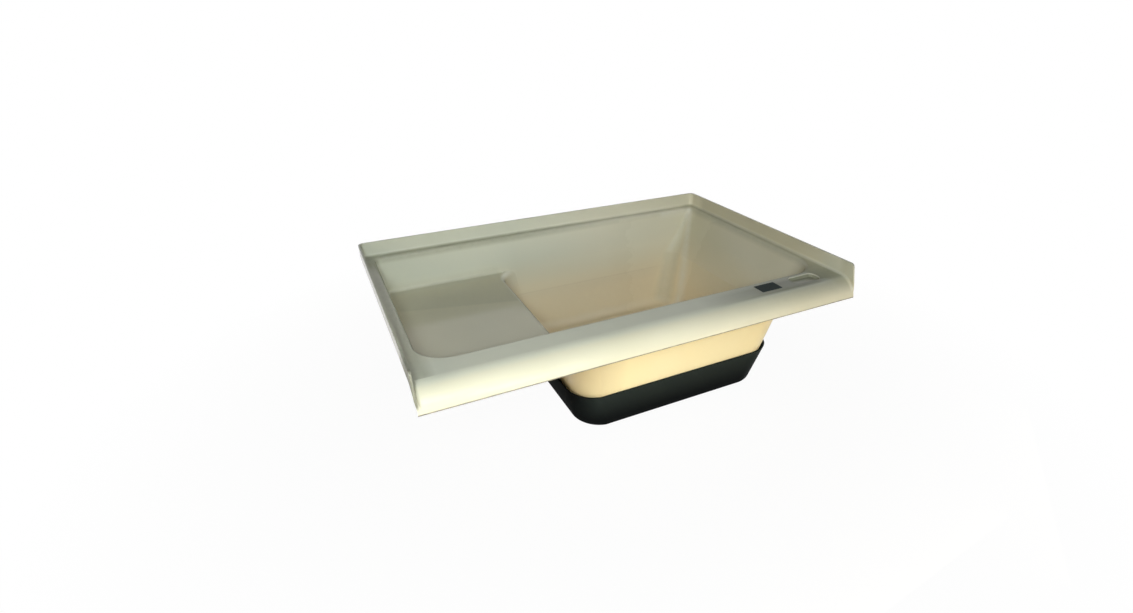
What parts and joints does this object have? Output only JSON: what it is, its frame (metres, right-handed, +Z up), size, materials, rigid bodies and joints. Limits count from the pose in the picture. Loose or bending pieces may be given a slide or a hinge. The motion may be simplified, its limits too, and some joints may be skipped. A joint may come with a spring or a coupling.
{
  "type": "bathtub",
  "caption": "Alcove bathtub in one moulded plastic sheet: end seat, deep sloped well, rolled front, upright wall flange, soap dish, black support pan and a floor drain with a lift-out stopper.",
  "frame": {"origin": "middle of the bounding box in plan, at the height of the support pan's foot", "axes": "+X along the tub from the seat end to the sloped end, +Y from the rolled front to the back wall, +Z up"},
  "size_m": [0.9144, 0.6096, 0.32],
  "materials": {
    "tub_plastic": "glossy moulded acrylic-faced sheet, parchment",
    "pan_plastic": "satin black moulded plastic",
    "board": "plain panel board",
    "label_film": "bare dark slate film",
    "drain_plastic": "moulded plastic, near white",
    "seal_rubber": "soft black rubber",
    "washer_card": "fibre washer"
  },
  "bodies": {
    "tub": {"tub_shell": "tub_plastic", "support_pan": "pan_plastic", "floor_core": "board", "seat_stiffener": "board", "blank_label": "label_film", "drain_body": "drain_plastic", "drain_gasket": "seal_rubber", "friction_washer": "washer_card", "drain_locknut": "drain_plastic"},
    "stopper": {"drain_stopper": "seal_rubber"}
  },
  "joints": [
    {"name": "stopper_lift", "type": "slide", "parent": "tub", "child": "stopper", "axis": [0, 0, 1], "range_m": [0, 0.31]}
  ]
}
